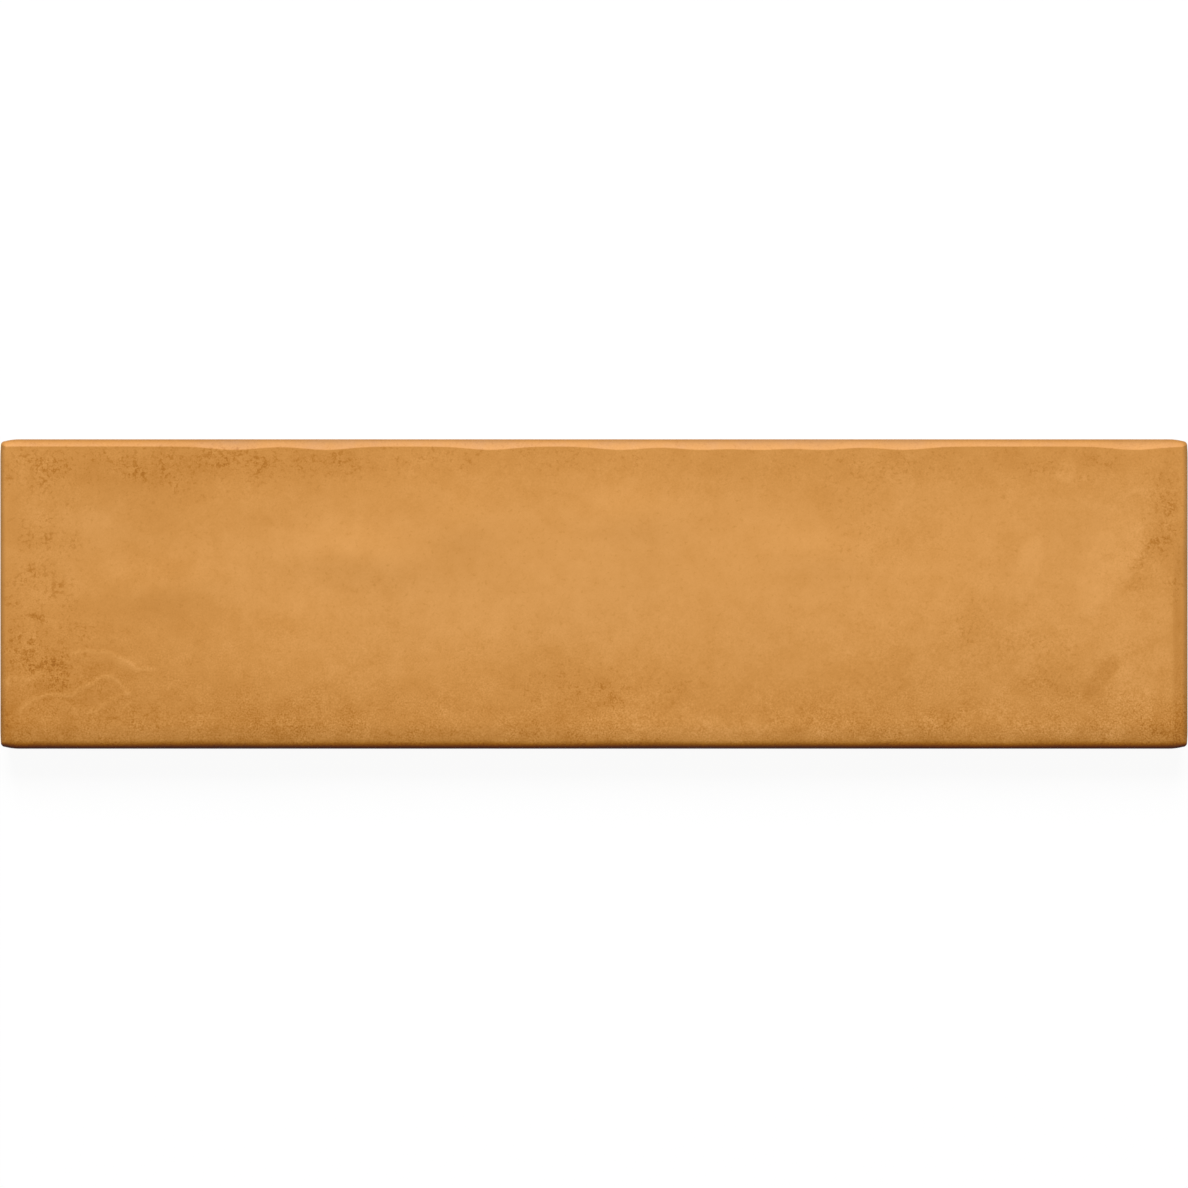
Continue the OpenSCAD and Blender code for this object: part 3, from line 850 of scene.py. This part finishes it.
# How far the glaze's unevenness goes, in shares of its whole range of colours: where the coat is
# plain, and how much further where it is grainy
GRIT_DEPTH = (0.06, 0.75)
MOTTLE_DEPTH = (0.035, 0.2)
SPRAY_DEPTH = (0.14, 0.28)
SPOT_POWER = 1.5        # how much its dark spots stand out over its light ones
SPOT_MIDDLE = 0.36      # about the mean of a noise raised to that power
MIX_A, MIX_B, MIXED = 6, 7, 2   # a colour mix's sockets, which share their names with its other kinds


def add(tree, kind, inputs=(), **settings):
    """Adds a node, sets its settings, and sets or links its inputs."""
    node = tree.nodes.new(kind)
    for name, value in settings.items():
        setattr(node, name, value)
    for socket, value in dict(inputs).items():
        if isinstance(value, bpy.types.NodeSocket):
            tree.links.new(value, node.inputs[socket])
        else:
            node.inputs[socket].default_value = value
    return node


def set_stops(ramp, stops):
    """Gives a colour ramp its stops, as places and linear colours."""
    elements = ramp.color_ramp.elements
    while len(elements) < len(stops):
        elements.new(0.5)
    for element, (place, value) in zip(elements, stops):
        element.position = place
        element.color = value


def emptied(owner):
    """The node tree of a material or a world, with nothing in it."""
    owner.use_nodes = True
    owner.node_tree.nodes.clear()
    return owner.node_tree


def new_material(name):
    """A material with its empty node tree, and its Principled shader linked to the output."""
    material = bpy.data.materials.new(name)
    tree = emptied(material)
    shader = add(tree, "ShaderNodeBsdfPrincipled")
    add(tree, "ShaderNodeOutputMaterial", {"Surface": shader.outputs["BSDF"]})
    return material, tree, shader


def per_size(millimetres):
    """Scale of a noise texture in object coordinates whose grains have that size."""
    return 1 / (millimetres * MM)


def uneven(tree, noise_level, grainy, plain_depth, grainy_depth):
    """Lighter and darker glaze from a noise: so far where the coat is plain, and further where it is
    grainy. Its dark spots stand out more than its light ones."""
    depth = add(tree, "ShaderNodeMath", {
        0: grainy, 1: grainy_depth, 2: plain_depth,
    }, operation="MULTIPLY_ADD")
    bent = add(tree, "ShaderNodeMath", {0: noise_level, 1: SPOT_POWER}, operation="POWER")
    bent = add(tree, "ShaderNodeMath", {0: SPOT_MIDDLE, 1: bent.outputs[0]}, operation="SUBTRACT")
    bent = add(tree, "ShaderNodeMath", {0: bent.outputs[0], 1: depth.outputs[0]}, operation="MULTIPLY")
    return bent.outputs[0]


def iron_specks(tree, place, speck):
    """How much darker the glaze is in its iron speckles: more and deeper ones where speck is high."""
    # Ragged grains under a millimetre across, and a lace that joins them
    iron = add(tree, "ShaderNodeTexNoise", {
        "Vector": place, "Scale": per_size(0.95), "Detail": 4.0, "Roughness": 0.7, "Distortion": 0.25,
    })
    edge = add(tree, "ShaderNodeMath", {0: speck, 1: -0.09, 2: 0.6}, operation="MULTIPLY_ADD")
    inside = add(tree, "ShaderNodeMath", {
        0: iron.outputs["Fac"], 1: edge.outputs[0],
    }, operation="SUBTRACT")
    inside = add(tree, "ShaderNodeMapRange", {
        "Value": inside.outputs[0], "From Min": -0.02, "From Max": 0.06,
    })
    depth = add(tree, "ShaderNodeMath", {0: speck, 1: -0.12, 2: -0.07}, operation="MULTIPLY_ADD")
    return add(tree, "ShaderNodeMath", {
        0: inside.outputs["Result"], 1: depth.outputs[0],
    }, operation="MULTIPLY").outputs[0]


def through_coats(tree, seen, coats):
    """A colour seen through coats, each with what one leaves of the colour and how many lie there. Here
    they are the glaze that ran together, partly painted shade, and the painted shade on the rolled edges.
    """
    for left, amount in coats:
        left = add(tree, "ShaderNodeGamma", {"Color": left, "Gamma": amount}).outputs["Color"]
        mixed = add(tree, "ShaderNodeMix", {"Factor": 1.0, MIX_A: seen, MIX_B: left}, data_type="RGBA",
                    blend_type="MULTIPLY")
        seen = mixed.outputs[MIXED]
    return seen


def satin(tree, spray, roughness):
    """Roughness of the satin surface, a little uneven where the spray was."""
    rough = add(tree, "ShaderNodeMapRange", {
        "Value": spray, "From Min": 0.3, "From Max": 0.7,
        "To Min": roughness - 0.05, "To Max": roughness + 0.07,
    })
    # Seen along the surface, its fine unevenness dulls the gloss
    along = add(tree, "ShaderNodeLayerWeight", {"Blend": 0.5}).outputs["Facing"]
    along = add(tree, "ShaderNodeMath", {0: along, 1: 6.0}, operation="POWER").outputs[0]
    return add(tree, "ShaderNodeMath", {
        0: along, 1: 0.5, 2: rough.outputs["Result"],
    }, operation="MULTIPLY_ADD").outputs[0]


def satin_ochre_glaze(finish):
    """Ochre glaze, sprayed on in an uneven coat and fired to a satin surface.

    The eye sees soft clouds of lighter and darker ochre with no hard highlight, some of them
    painted light and shade on the swells and finger marks, ragged brown speckles where iron came
    through, and a sandy grain where the coat is thinner. The lower rolled edge has a browner,
    darker line, where the glaze ran together and where shade is painted on the side away from
    the key light, and the others carry a grey painted shade towards their outer edge.
    """
    material, tree, shader = new_material("satin_ochre_glaze")
    place = add(tree, "ShaderNodeTexCoord").outputs["Object"]
    # The tone also carries painted light and shade; the last two attributes carry painted shade on the
    # rolled edges, partly with the browner glaze that ran together on the lower one
    tone, speck, grainy, pool_and_shade, rim_shade = (
        add(tree, "ShaderNodeAttribute", attribute_name=name).outputs["Fac"]
        for name in ("tone", "speck", "grain", "pool_and_shade", "rim_shade")
    )
    # Grit of the clay under the glaze, drawn at the finest size that shows
    grit = add(tree, "ShaderNodeTexNoise", {"Vector": place, "Scale": per_size(0.36), "Detail": 1.5})
    # Mottling where the coat lies thicker and thinner over the grit
    mottle = add(tree, "ShaderNodeTexNoise", {
        "Vector": place, "Scale": per_size(1.3), "Detail": 2.0, "Roughness": 0.6,
    })
    # Uneven spray
    spray = add(tree, "ShaderNodeTexNoise", {
        "Vector": place, "Scale": per_size(4.5), "Detail": 6.0, "Roughness": 0.62,
    }).outputs["Fac"]
    gaps = add(tree, "ShaderNodeMath", {0: 1.0, 1: spray}, operation="SUBTRACT")
    grit = uneven(tree, grit.outputs["Fac"], grainy, *GRIT_DEPTH)
    mottle = uneven(tree, mottle.outputs["Fac"], grainy, *MOTTLE_DEPTH)
    cloud = uneven(tree, gaps.outputs[0], grainy, *SPRAY_DEPTH)

    level = 0.5
    for part in (tone, grit, mottle, cloud, iron_specks(tree, place, speck)):
        level = add(tree, "ShaderNodeMath", {0: level, 1: part}, operation="ADD").outputs[0]
    ramp = add(tree, "ShaderNodeValToRGB", {"Fac": level})
    shades = (finish.deep, finish.dark, finish.body, finish.light, finish.pale)
    set_stops(ramp, list(zip((0.0, 0.25, 0.5, 0.75, 1.0), shades)))
    # Darker and browner where the glaze ran together on the lower rolled edge, partly as painted shade,
    # and grey painted shade along the other rolled edges
    seen = through_coats(tree, ramp.outputs["Color"], ((finish.filter, pool_and_shade), (finish.rim_shade, rim_shade)))
    tree.links.new(seen, shader.inputs["Base Color"])
    tree.links.new(satin(tree, spray, finish.roughness), shader.inputs["Roughness"])

    # The glaze drew together in dimples of a few millimetres, and the grit stands a little proud
    dimples = add(tree, "ShaderNodeTexNoise", {"Vector": place, "Scale": per_size(3.0), "Detail": 2.0})
    height = add(tree, "ShaderNodeMath", {
        0: grit, 1: 0.4, 2: dimples.outputs["Fac"],
    }, operation="MULTIPLY_ADD")
    bump = add(tree, "ShaderNodeBump", {
        "Height": height.outputs[0], "Distance": 0.06 * MM, "Strength": 0.35,
    })
    tree.links.new(bump.outputs["Normal"], shader.inputs["Normal"])
    shader.inputs["IOR"].default_value = 1.5
    shader.inputs["Specular IOR Level"].default_value = 0.2
    return material


def pressed_biscuit(finish):
    """Buff clay, pressed dry in a steel die and fired once.

    The eye sees a chalky, dead matt buff with sandy grog and a few iron spots, paler where the
    kiln wash rubbed off on the ribs and rim that it was fired on.
    """
    material, tree, shader = new_material("pressed_biscuit_clay")
    place = add(tree, "ShaderNodeTexCoord").outputs["Object"]
    wash = add(tree, "ShaderNodeAttribute", attribute_name="wash").outputs["Fac"]
    grog = add(tree, "ShaderNodeTexNoise", {
        "Vector": place, "Scale": per_size(0.9), "Detail": 5.0, "Roughness": 0.65,
    })
    patches = add(tree, "ShaderNodeTexNoise", {"Vector": place, "Scale": per_size(9), "Detail": 5.0})
    spots = add(tree, "ShaderNodeTexVoronoi", {"Vector": place, "Scale": per_size(3.2)})
    ramp = add(tree, "ShaderNodeValToRGB", {"Fac": grog.outputs["Fac"]})
    set_stops(ramp, ((0.3, finish.dark), (0.55, finish.body)))
    iron = add(tree, "ShaderNodeMapRange", {
        "Value": spots.outputs["Distance"], "From Min": 0.05, "From Max": 0.16,
        "To Min": 0.8, "To Max": 0.0,
    })
    clay = add(tree, "ShaderNodeMix", {
        "Factor": iron.outputs["Result"], MIX_A: ramp.outputs["Color"], MIX_B: finish.dark,
    }, data_type="RGBA")
    dusting = add(tree, "ShaderNodeMapRange", {
        "Value": patches.outputs["Fac"], "From Min": 0.42, "From Max": 0.62,
        "To Min": 0.1, "To Max": 0.8,
    })
    dusting = add(tree, "ShaderNodeMath", {0: dusting.outputs["Result"], 1: wash}, operation="MULTIPLY")
    dusted = add(tree, "ShaderNodeMix", {
        "Factor": dusting.outputs[0], MIX_A: clay.outputs[MIXED], MIX_B: finish.wash,
    }, data_type="RGBA")
    tree.links.new(dusted.outputs[MIXED], shader.inputs["Base Color"])
    bump = add(tree, "ShaderNodeBump", {
        "Height": grog.outputs["Fac"], "Distance": 0.12 * MM, "Strength": 0.7,
    })
    tree.links.new(bump.outputs["Normal"], shader.inputs["Normal"])
    shader.inputs["Roughness"].default_value = finish.roughness
    shader.inputs["Specular IOR Level"].default_value = 0.2
    return material


# ---------------------------------------------------------------- stage


def seen_directly(tree):
    """1 for camera, glossy and transmission rays, and 0 for the rays that light the tile."""
    rays = add(tree, "ShaderNodeLightPath").outputs
    direct = rays["Is Camera Ray"]
    for other in (rays["Is Glossy Ray"], rays["Is Transmission Ray"]):
        direct = add(tree, "ShaderNodeMath", {0: direct, 1: other}, operation="MAXIMUM").outputs[0]
    return direct


def white_room(strength):
    """A world that looks white, and lights the tile evenly with its own strength."""
    world = bpy.data.worlds.new("white_room")
    tree = emptied(world)
    level = add(tree, "ShaderNodeMapRange", {"Value": seen_directly(tree), "To Min": strength})
    white = add(tree, "ShaderNodeBackground", {
        "Strength": level.outputs["Result"], "Color": (1, 1, 1, 1),
    })
    add(tree, "ShaderNodeOutputWorld", {"Surface": white.outputs["Background"]})
    return world


def pale_floor(finish):
    """White laminate that looks white where it is lit, and a little greyer in the tile's shadow."""
    material = bpy.data.materials.new("pale_floor")
    tree = emptied(material)
    lit = [channel * FLOOR_SHARE for channel in finish[:3]] + [1.0]
    matt = add(tree, "ShaderNodeBsdfDiffuse", {"Color": lit})
    glow = add(tree, "ShaderNodeMapRange", {
        "Value": seen_directly(tree), "To Min": FLOOR_BOUNCE, "To Max": FLOOR_GLOW,
    })
    pale = add(tree, "ShaderNodeEmission", {"Color": finish, "Strength": glow.outputs["Result"]})
    both = add(tree, "ShaderNodeAddShader", {0: matt.outputs["BSDF"], 1: pale.outputs["Emission"]})
    add(tree, "ShaderNodeOutputMaterial", {"Surface": both.outputs["Shader"]})
    return material


def link(obj):
    """Puts an object in the scene."""
    bpy.context.scene.collection.objects.link(obj)
    return obj


def make_floor(stage):
    """A plain square that the tile lies on."""
    mesh = bpy.data.meshes.new("floor")
    corners = [(x * FLOOR_REACH, y * FLOOR_REACH, 0) for x, y in ((-1, -1), (1, -1), (1, 1), (-1, 1))]
    mesh.from_pydata(corners, [], [(0, 1, 2, 3)])
    mesh.materials.append(pale_floor(stage.floor))
    floor = link(bpy.data.objects.new("floor", mesh))
    floor.location.z = LOW.z - FLOOR_GAP


def make_key_light(stage):
    """One large soft light above the upper long side, a little to the left."""
    lamp = bpy.data.lights.new("key", "AREA")
    lamp.shape = "SQUARE"
    lamp.size = KEY_SIZE
    lamp.energy = stage.key_power
    key = link(bpy.data.objects.new("key", lamp))
    level = math.cos(stage.key_elevation)
    towards = Vector((
        math.sin(KEY_HEADING) * level, math.cos(KEY_HEADING) * level, math.sin(stage.key_elevation),
    ))
    key.location = KEY_DISTANCE * towards
    key.rotation_euler = towards.to_track_quat("Z", "Y").to_euler()
    key.visible_camera = False


def make_camera(stage, sizes):
    """Straight above the tile, so far off that the picture is as wide as the tile."""
    view = bpy.data.cameras.new("camera")
    view.lens = stage.lens
    picture = sizes.tile_length + 2 * PICTURE_MARGIN
    camera = link(bpy.data.objects.new("camera", view))
    camera.location = (0, 0, sizes.side_top + picture * view.lens / view.sensor_width)
    bpy.context.scene.camera = camera


# ---------------------------------------------------------------- operators and panel


class WALLTILE_OT_add_tile(bpy.types.Operator):
    """Add the glazed tile, in place of its plain frame"""

    bl_idname = "wall_tile.add_tile"
    bl_label = "Glazed Tile"

    def execute(self, context):
        scene = context.scene
        mesh = tile_mesh(in_millimetres(scene.tile_sizes))
        mesh.materials.append(satin_ochre_glaze(scene.tile_glaze))
        mesh.materials.append(pressed_biscuit(scene.tile_clay))
        tile = link(bpy.data.objects.new("glazed_tile", mesh))
        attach(tile, "root")
        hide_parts(NODE)
        return {"FINISHED"}


class WALLTILE_OT_add_stage(bpy.types.Operator):
    """Add the pale floor, the lights and the camera"""

    bl_idname = "wall_tile.add_stage"
    bl_label = "Stage"

    def execute(self, context):
        scene = context.scene
        stage = scene.tile_stage
        make_floor(stage)
        make_key_light(stage)
        make_camera(stage, scene.tile_sizes)
        scene.world = white_room(stage.room_light)
        scene.view_settings.view_transform = "Standard"
        return {"FINISHED"}


class WALLTILE_PT_panel(bpy.types.Panel):
    """The tile's pieces and settings"""

    bl_label = "Wall Tile"
    bl_space_type = "VIEW_3D"
    bl_region_type = "UI"
    bl_category = "Wall Tile"

    def draw(self, context):
        for operator in OPERATORS:
            self.layout.operator(operator.bl_idname)
        for name, kind in SETTINGS.items():
            box = self.layout.box()
            for prop in kind.__annotations__:
                box.prop(getattr(context.scene, name), prop)


SETTINGS = {
    "tile_sizes": TileSizes,
    "tile_glaze": GlazeFinish,
    "tile_clay": ClayFinish,
    "tile_stage": StageSettings,
}
OPERATORS = (WALLTILE_OT_add_tile, WALLTILE_OT_add_stage)
CLASSES = (*SETTINGS.values(), *OPERATORS, WALLTILE_PT_panel)


def register():
    for each in CLASSES:
        bpy.utils.register_class(each)
    for name, kind in SETTINGS.items():
        setattr(bpy.types.Scene, name, PointerProperty(type=kind))


def unregister():
    for name in SETTINGS:
        delattr(bpy.types.Scene, name)
    for each in reversed(CLASSES):
        bpy.utils.unregister_class(each)


def main():
    register()
    bpy.ops.wall_tile.add_tile()
    bpy.ops.wall_tile.add_stage()


if __name__ == "__main__":
    main()
